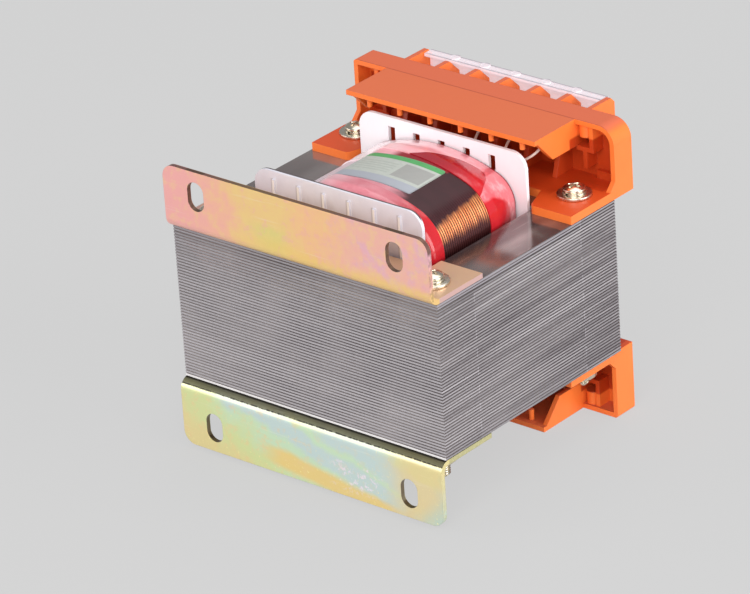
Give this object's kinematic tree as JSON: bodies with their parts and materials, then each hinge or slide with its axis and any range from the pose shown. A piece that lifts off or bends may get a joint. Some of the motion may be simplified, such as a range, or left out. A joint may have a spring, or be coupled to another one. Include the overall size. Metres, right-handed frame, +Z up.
{
  "type": "chassis transformer",
  "caption": "Laminated EI-core chassis transformer with a wound coil, slotted mounting brackets and screw-terminal blocks along one side.",
  "frame": {"origin": "middle of the bottom of the object's bounding box, under the core, with the lamination stack upright", "axes": "+Z up the lamination stack, along the four clamp screws; +Y from the slotted mounting flanges towards the terminals, along the coil's axis; +X to the right when looking along +Y"},
  "size_m": [0.096, 0.102, 0.0907],
  "materials": {
    "lamination_steel": "grey, semi-glossy rolled sheet",
    "bracket_zinc": "yellow passivated zinc, satin with a faint rainbow",
    "block_plastic": "moulded orange, matt",
    "cover_clear": "clear moulded plastic",
    "bobbin_plastic": "off-white moulding",
    "copper_wire": "enamelled copper",
    "insulation_film": "pale film",
    "red_film": "red polyester film, glossy",
    "label_silver": "silver, satin, bare",
    "fastener_steel": "zinc plated",
    "terminal_brass": "plated",
    "tinned_lead": "tinned copper"
  },
  "bodies": {
    "root": {"core_front_e": "lamination_steel", "core_rear_i": "lamination_steel", "core_rear_e": "lamination_steel", "core_front_i": "lamination_steel", "bobbin": "bobbin_plastic", "bobbin_front_flange": "bobbin_plastic", "bobbin_rear_flange": "bobbin_plastic", "primary_winding": "copper_wire", "winding_insulation": "insulation_film", "secondary_winding": "copper_wire", "front_tape": "red_film", "rear_tape": "red_film", "rating_label": "label_silver", "upper_bracket": "bracket_zinc", "lower_bracket": "bracket_zinc", "upper_terminal_block": "block_plastic", "lower_terminal_block": "block_plastic", "upper_terminal_foot": "block_plastic", "lower_terminal_foot": "block_plastic", "upper_terminal_hood": "block_plastic", "lower_terminal_hood": "block_plastic", "upper_terminal_webs": "block_plastic", "lower_terminal_webs": "block_plastic", "upper_terminal_ledges": "block_plastic", "lower_terminal_ledges": "block_plastic", "upper_terminal_fins": "block_plastic", "lower_terminal_fins": "block_plastic", "upper_terminal_tags": "terminal_brass", "lower_terminal_tags": "terminal_brass", "upper_wire_clamps": "fastener_steel", "lower_wire_clamps": "fastener_steel", "upper_terminal_screws": "fastener_steel", "lower_terminal_screws": "fastener_steel", "upper_terminal_cover": "cover_clear", "lower_terminal_cover": "cover_clear", "clamp_screws": "fastener_steel", "clamp_washers": "fastener_steel", "clamp_spring_washers": "fastener_steel", "nut_washers": "fastener_steel", "clamp_nuts": "fastener_steel", "upper_lead_wires": "tinned_lead", "lower_lead_wires": "tinned_lead"}
  },
  "joints": []
}
